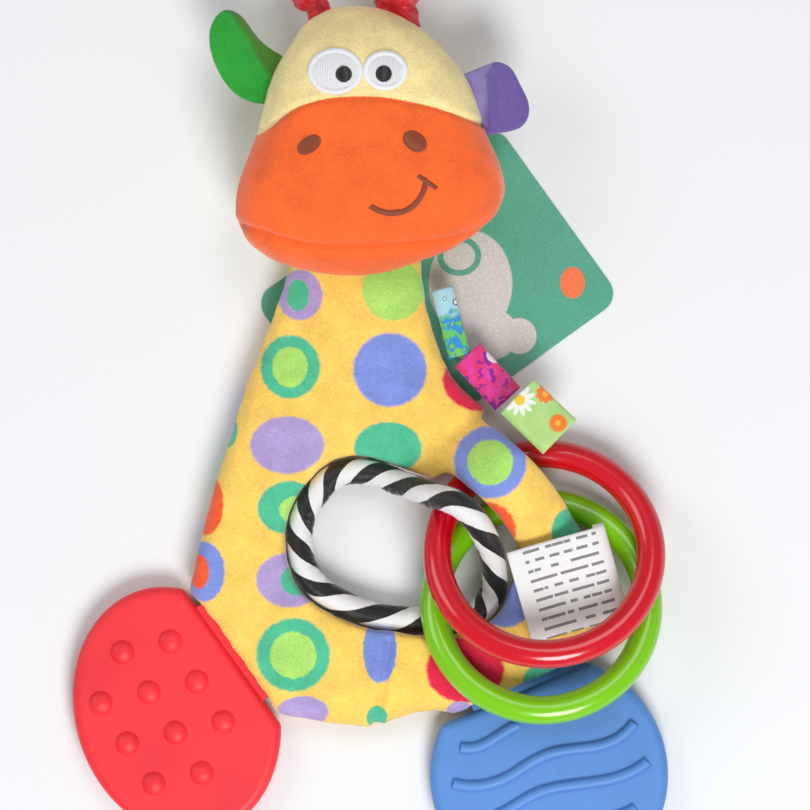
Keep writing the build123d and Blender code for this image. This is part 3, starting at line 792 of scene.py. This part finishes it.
# ---------------------------------------------------------------- ribbon loops in the side seam
# Three folded lengths of printed satin ribbon with woven edges, both ends of each caught
# in the side seam, for small fingers to pull.
# Each ribbon: both ends of its stitched edge, how far it reaches, and how high it stands
RIBBONS = (
    ("blue", (18.0, 39.6, 7.5), (23.4, 19.4, 7.5), 6.4, 3.6),
    ("pink", (25.2, 17.0, 7.5), (37.2, 4.0, 8.5), 10.0, 3.6),
    ("green", (38.6, 3.2, 16.5), (51.2, -9.0, 17.5), 14.0, 3.6),
)
RIBBON_THICK = 0.35 * mm
WIDTH_STEPS = 24


def bent_sheet(name, start, ahead, outward, profile, width, ripple):
    """A strip whose profile, outwards and up, runs along a seam. Its UV map is in millimetres."""
    upward = ahead.cross(outward).normalized()
    if upward.z < 0:
        upward = -upward
    turns = flat_route(profile)[::3]
    shape = bmesh.new()
    uv = shape.loops.layers.uv.new("cloth")
    rows, run_at, run = [], [], 0.0
    for i, turn in enumerate(turns):
        run += (turn - turns[i - 1]).length if i else 0.0
        run_at.append(run / mm)
        row = []
        for k in range(WIDTH_STEPS + 1):
            share = k / WIDTH_STEPS
            lift = ripple * math.sin(2.2 * math.pi * share + 0.9) * math.sin(math.pi * i / len(turns))
            place = start + ahead * width * share + outward * turn.x + upward * (turn.y + lift)
            row.append(shape.verts.new(place))
        rows.append(row)
    for i, (low, high) in enumerate(zip(rows, rows[1:])):
        for k in range(WIDTH_STEPS):
            made = shape.faces.new((low[k], low[k + 1], high[k + 1], high[k]))
            corners = ((k, i), (k + 1, i), (k + 1, i + 1), (k, i + 1))
            for loop, (a, b) in zip(made.loops, corners):
                loop[uv].uv = (a / WIDTH_STEPS * width / mm, run_at[b])
    piece = new_piece(name, shape)
    shade_smooth(piece)
    thick = piece.modifiers.new("cloth", "SOLIDIFY")
    thick.thickness = RIBBON_THICK
    thick.offset = 0
    return piece, run


def disc(add, place, centre, radius, soft=0.06):
    """A printed disc on a flat cloth, as a mask."""
    inner = add("Mapping", {"Vector": place, "Location": (*centre, 0), "Scale": (*radius, 1e6)},
                vector_type="TEXTURE")
    reach = add("VectorMath", {0: inner.outputs[0]}, operation="LENGTH").outputs["Value"]
    return add("MapRange", {"Value": reach, "From Min": 1 + soft, "From Max": 1 - soft}).outputs[0]


def petals(add, place, centre, radius, count, depth):
    """A printed flower of so many petals, as a mask."""
    inner = add("VectorMath", {0: place, 1: (*centre, 0)}, operation="SUBTRACT")
    parts = add("SeparateXYZ", {0: inner.outputs[0]})
    angle = maths(add, "ARCTAN2", parts.outputs["Y"], parts.outputs["X"])
    wave = maths(add, "COSINE", maths(add, "MULTIPLY", angle, count / 2))
    lobe = maths(add, "ABSOLUTE", wave)
    limit = maths(add, "MULTIPLY_ADD", lobe, depth * radius, (1 - depth) * radius)
    reach = add("VectorMath", {0: inner.outputs[0]}, operation="LENGTH").outputs["Value"]
    room = maths(add, "SUBTRACT", limit, reach)
    return add("MapRange", {"Value": room, "From Min": -0.08, "From Max": 0.12}).outputs[0]


def satin_weave(add, links, surface, uv):
    """The fine ribs of a woven ribbon, and their slight change of shade."""
    ribs = add("TexWave", {"Vector": uv, "Scale": 1.6, "Distortion": 0.6, "Detail": 1.0}, bands_direction="Y")
    grain = add("TexNoise", {"Vector": uv, "Scale": 2.6, "Detail": 3.0})
    both = maths(add, "ADD", ribs.outputs["Fac"], grain.outputs["Fac"])
    add_bump(add, links, surface, both, 0.12 * mm, 0.5)
    return add("MapRange", {"Value": both, "From Max": 2.0, "To Min": 0.86, "To Max": 1.12}).outputs[0]


ribbon_surfaces = {}
for name in ("blue", "pink", "green"):
    material, surface, add, links = shader("printed_ribbon_" + name, 0.34, sheen=0.2)
    surface.inputs["Anisotropic"].default_value = 0.4
    uv = add("UVMap", uv_map="cloth").outputs[0]
    if name == "blue":
        drift = add("TexNoise", {"Vector": uv, "Scale": 0.32, "Detail": 3.0})
        across = add("SeparateXYZ", {0: uv}).outputs["X"]
        level = maths(add, "MULTIPLY_ADD", drift.outputs["Fac"], 9.0, across)
        sea = add("MapRange", {"Value": level, "From Min": 11.5, "From Max": 13.5})
        colour = blend_colours(add, sea.outputs[0], (0.42, 0.72, 0.86), (0.03, 0.30, 0.72))
        weed = add("TexNoise", {"Vector": uv, "Scale": 0.42, "Detail": 2.0, "Distortion": 1.2})
        leaves = add("MapRange", {"Value": weed.outputs["Fac"], "From Min": 0.50, "From Max": 0.54})
        below = maths(add, "MULTIPLY", leaves.outputs[0], sea.outputs[0])
        colour = blend_colours(add, below, colour, (0.16, 0.62, 0.10))
        for centre, radius in (((5.0, 6.6), 1.0), ((3.2, 3.6), 0.6), ((8.2, 9.8), 0.7)):
            colour = blend_colours(add, disc(add, uv, centre, (radius, radius)), colour, (0.02, 0.05, 0.09))
            bubble = disc(add, uv, centre, (radius * 0.66, radius * 0.66))
            colour = blend_colours(add, bubble, colour, (0.85, 0.92, 0.95))
    elif name == "pink":
        drift = add("TexNoise", {"Vector": uv, "Scale": 0.25, "Detail": 3.0})
        warm = add("MapRange", {"Value": drift.outputs["Fac"], "From Min": 0.40, "From Max": 0.62})
        colour = blend_colours(add, warm.outputs[0], (0.78, 0.03, 0.16), (0.80, 0.05, 0.42))
        blot = add("TexNoise", {"Vector": uv, "Scale": 0.34, "Detail": 1.0, "Distortion": 0.9})
        grape = add("MapRange", {"Value": blot.outputs["Fac"], "From Min": 0.56, "From Max": 0.60})
        colour = blend_colours(add, grape.outputs[0], colour, (0.30, 0.01, 0.32))
        for centre, radius, ink in (((5.4, 11.0), (2.3, 2.0), (0.88, 0.74, 0.80)),
                                    ((9.2, 12.2), (1.3, 1.0), (0.90, 0.75, 0.22)),
                                    ((11.4, 12.0), (0.9, 1.4), (0.40, 0.80, 0.30)),
                                    ((13.4, 12.2), (0.8, 1.4), (0.95, 0.55, 0.10))):
            colour = blend_colours(add, disc(add, uv, centre, radius), colour, ink)
    else:
        drift = add("TexNoise", {"Vector": uv, "Scale": 0.2, "Detail": 2.0})
        colour = blend_colours(add, drift.outputs["Fac"], (0.34, 0.66, 0.16), (0.60, 0.80, 0.32))
        for centre in ((1.5, 7.0), (12.0, 22.0)):
            colour = blend_colours(add, petals(add, uv, centre, 4.8, 11, 0.5), colour, (0.90, 0.92, 0.86))
            colour = blend_colours(add, disc(add, uv, centre, (1.6, 1.6)), colour, (0.95, 0.62, 0.05))
        for centre, count in (((5.6, 13.6), 9), ((14.4, 10.0), 24), ((4.0, 24.0), 9)):
            colour = blend_colours(add, petals(add, uv, centre, 2.9, count, 0.25), colour, (0.95, 0.22, 0.02))
            colour = blend_colours(add, disc(add, uv, centre, (0.9, 0.9)), colour, (0.98, 0.50, 0.05))
    shade = satin_weave(add, links, surface, uv)
    links.new(shaded(add, colour, shade), surface.inputs["Base Color"])
    ribbon_surfaces[name] = material

for name, start, end, reach, height in RIBBONS:
    start, end = Vector(start) * mm, Vector(end) * mm
    ahead = (end - start).normalized()
    outward = Vector((-ahead.y, ahead.x, 0)).normalized()
    half = height / 2
    profile = ((0.2, 0.5), (1.4, half * 0.75), (reach * 0.45, half), (reach * 0.8, half * 0.85),
               (reach + 0.2, 0.1), (reach * 0.8, -half * 0.8), (reach * 0.45, -half), (0.2, -0.6))
    ribbon, run = bent_sheet("ribbon_" + name + "_loop", start, ahead, outward, profile,
                             (end - start).length, 0.25 * mm)
    give_material(ribbon, ribbon_surfaces[name])
    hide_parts("ribbon_" + name)
    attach(ribbon, "torso")

# ---------------------------------------------------------------- the care label
# White woven satin, sewn by one end into the arm's seam and folded back over the arm. Its
# print is plain grey bars.
LABEL_START, LABEL_END = (65.6, -30.0, 16.0), (73.4, -57.0, 11.2)
LABEL_REACH, LABEL_RISE, LABEL_CURL = 26.5, 4.0, 1.6
LINE_PITCH = 3.0
PRINT_START, PRINT_END = 8.5, 31.0
start, end = Vector(LABEL_START) * mm, Vector(LABEL_END) * mm
ahead = (end - start).normalized()
outward = Vector((-ahead.y, ahead.x, 0)).normalized()
profile = ((0.2, 0.1), (LABEL_CURL, 0.1), (LABEL_CURL + 1.9, 1.6), (LABEL_CURL, LABEL_RISE + 0.1),
           (-6.0, LABEL_RISE + 0.5), (-14.0, LABEL_RISE + 0.1), (-21.0, LABEL_RISE + 0.3),
           (-LABEL_REACH, LABEL_RISE + 0.9))
label, run = bent_sheet("care_label_cloth", start, ahead, outward, profile, (end - start).length, 0.3 * mm)
white_satin, surface, add, links = shader("white_label_satin", 0.5, sheen=0.2)
uv = add("UVMap", uv_map="cloth").outputs[0]
parts = add("SeparateXYZ", {0: uv})
line = maths(add, "MULTIPLY", parts.outputs["X"], 1 / LINE_PITCH)
row = maths(add, "FLOOR", line)
bar_centre = maths(add, "SUBTRACT", maths(add, "FRACT", line), 0.5)
bar = add("MapRange", {"Value": maths(add, "ABSOLUTE", bar_centre), "From Min": 0.17, "From Max": 0.13})
row_start = add("CombineXYZ", {"X": parts.outputs["Y"], "Y": row})
spread = add("VectorMath", {0: row_start.outputs[0], 1: (0.42, 7.3, 0)}, operation="MULTIPLY")
words = add("TexNoise", {"Vector": spread.outputs[0], "Scale": 1.0, "Detail": 0.0})
word = add("MapRange", {"Value": words.outputs["Fac"], "From Min": 0.42, "From Max": 0.44})
past_start = maths(add, "GREATER_THAN", parts.outputs["Y"], PRINT_START)
before_end = maths(add, "LESS_THAN", parts.outputs["Y"], PRINT_END)
bars = maths(add, "MULTIPLY", bar.outputs[0], word.outputs[0])
for mask in (past_start, before_end):
    bars = maths(add, "MULTIPLY", bars, mask)
colour = blend_colours(add, bars, (0.86, 0.86, 0.85), (0.22, 0.22, 0.23))
links.new(shaded(add, colour, satin_weave(add, links, surface, uv)), surface.inputs["Base Color"])
give_material(label, white_satin)
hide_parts("care_label")
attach(label, "torso")

# ---------------------------------------------------------------- the hang card
# A coated card with round corners under the toy, printed teal with a fine dot screen, a
# plain pale rounded figure and an orange dot.
FIGURE_GREY = (0.62, 0.57, 0.54)
card, surface, add, links = shader("printed_card", 0.38, coat=0.15)
place = add("TexCoord").outputs["Object"]
in_mm = add("VectorMath", {0: place, "Scale": 1000.0}, operation="SCALE").outputs[0]
mottle = add("TexNoise", {"Vector": place, "Scale": 60, "Detail": 3.0})
screen = add("TexVoronoi", {"Vector": place, "Scale": 1100})
dots = add("MapRange", {"Value": screen.outputs["Distance"], "From Min": 0.25, "From Max": 0.45,
                        "To Min": 1.10, "To Max": 0.95})
colour = blend_colours(add, mottle.outputs["Fac"], (0.065, 0.325, 0.215), (0.11, 0.41, 0.28))
for centre, radius in (((30.0, 42.0), (12.5, 16.0)), ((33.0, 27.0), (11.5, 8.5)), ((44.6, 26.4), (5.2, 5.4))):
    colour = blend_colours(add, disc(add, in_mm, centre, radius, 0.02), colour, FIGURE_GREY)
colour = blend_colours(add, disc(add, in_mm, (26.6, 50.4), (6.6, 6.0), 0.02), colour, (0.10, 0.36, 0.25))
colour = blend_colours(add, disc(add, in_mm, (26.6, 50.4), (4.8, 4.2), 0.02), colour, FIGURE_GREY)
colour = blend_colours(add, disc(add, in_mm, (60.6, 42.4), (3.7, 4.7), 0.03), colour, (0.90, 0.18, 0.06))
links.new(shaded(add, colour, dots.outputs[0]), surface.inputs["Base Color"])
fibre = add("TexNoise", {"Vector": place, "Scale": 700, "Detail": 4.0})
add_bump(add, links, surface, fibre.outputs["Fac"], 0.03 * mm, 0.4)
nodes["hang_tag"].material_slots[0].material = card

# ---------------------------------------------------------------- the rings
# Two glossy moulded plastic rings that hang on the arm, with slight waves in the surface
# and fine scuffs.


def glossy_plastic(name, colour, roughness):
    material, surface, add, links = shader(name, roughness, coat=0.4)
    surface.inputs["Subsurface Weight"].default_value = 0.03
    surface.inputs["Subsurface Radius"].default_value = (0.004, 0.002, 0.002)
    surface.inputs["Subsurface Scale"].default_value = 0.5
    place = add("TexCoord").outputs["Object"]
    flow = add("TexNoise", {"Vector": place, "Scale": 25, "Detail": 2.0})
    shade = add("MapRange", {"Value": flow.outputs["Fac"], "To Min": 0.92, "To Max": 1.06})
    links.new(shaded(add, colour, shade.outputs[0]), surface.inputs["Base Color"])
    scuffs = add("TexNoise", {"Vector": place, "Scale": 900, "Detail": 5.0, "Roughness": 0.7})
    dull = add("MapRange", {"Value": scuffs.outputs["Fac"], "From Min": 0.45, "From Max": 0.75,
                            "To Min": roughness, "To Max": roughness + 0.14})
    links.new(dull.outputs[0], surface.inputs["Roughness"])
    waves = add("TexNoise", {"Vector": place, "Scale": 90, "Detail": 1.0})
    add_bump(add, links, surface, waves.outputs["Fac"], 0.10 * mm, 0.25)
    return material


for name, colour, roughness in (("red", (0.62, 0.0, 0.012), 0.16), ("green", (0.20, 0.56, 0.002), 0.18)):
    ring_plastic = glossy_plastic(name + "_ring_plastic", colour, roughness)
    nodes["ring_" + name].material_slots[0].material = ring_plastic

# ---------------------------------------------------------------- the rubbery feet
# Two moulded pads of soft satin plastic, the red one with round bumps and the blue one
# with wavy ridges, each with a tongue that is sewn into a leg.


def soft_plastic(name, colour):
    material, surface, add, links = shader(name, 0.5, sheen=0.08)
    surface.inputs["Subsurface Weight"].default_value = 0.12
    surface.inputs["Subsurface Radius"].default_value = (0.006, 0.003, 0.003)
    surface.inputs["Subsurface Scale"].default_value = 0.5
    place = add("TexCoord").outputs["Object"]
    bloom = add("TexNoise", {"Vector": place, "Scale": 45, "Detail": 4.0})
    shade = add("MapRange", {"Value": bloom.outputs["Fac"], "From Min": 0.3, "From Max": 0.7,
                             "To Min": 0.90, "To Max": 1.08})
    links.new(shaded(add, colour, shade.outputs[0]), surface.inputs["Base Color"])
    matt = add("TexNoise", {"Vector": place, "Scale": 3200, "Detail": 2.0})
    orange_peel = add("TexNoise", {"Vector": place, "Scale": 350, "Detail": 2.0})
    both = maths(add, "ADD", matt.outputs["Fac"], orange_peel.outputs["Fac"])
    add_bump(add, links, surface, both, 0.06 * mm, 0.5)
    rub = add("MapRange", {"Value": bloom.outputs["Fac"], "To Min": 0.42, "To Max": 0.60})
    links.new(rub.outputs[0], surface.inputs["Roughness"])
    return material


nodes["teether_red"].material_slots[0].material = soft_plastic("red_soft_plastic", (0.87, 0.022, 0.035))
nodes["teether_blue"].material_slots[0].material = soft_plastic("blue_soft_plastic", (0.085, 0.25, 0.62))

# ---------------------------------------------------------------- the rattle in the head
# A closed pill box of white plastic with five hard beads, deep in the fill.
for name in ("rattle_capsule_base", "rattle_capsule_top"):
    nodes[name].material_slots[0].material = glossy_plastic(name + "_plastic", (0.80, 0.80, 0.78), 0.35)
nodes["rattle_beads"].material_slots[0].material = glossy_plastic("bead_plastic", (0.78, 0.62, 0.10), 0.3)
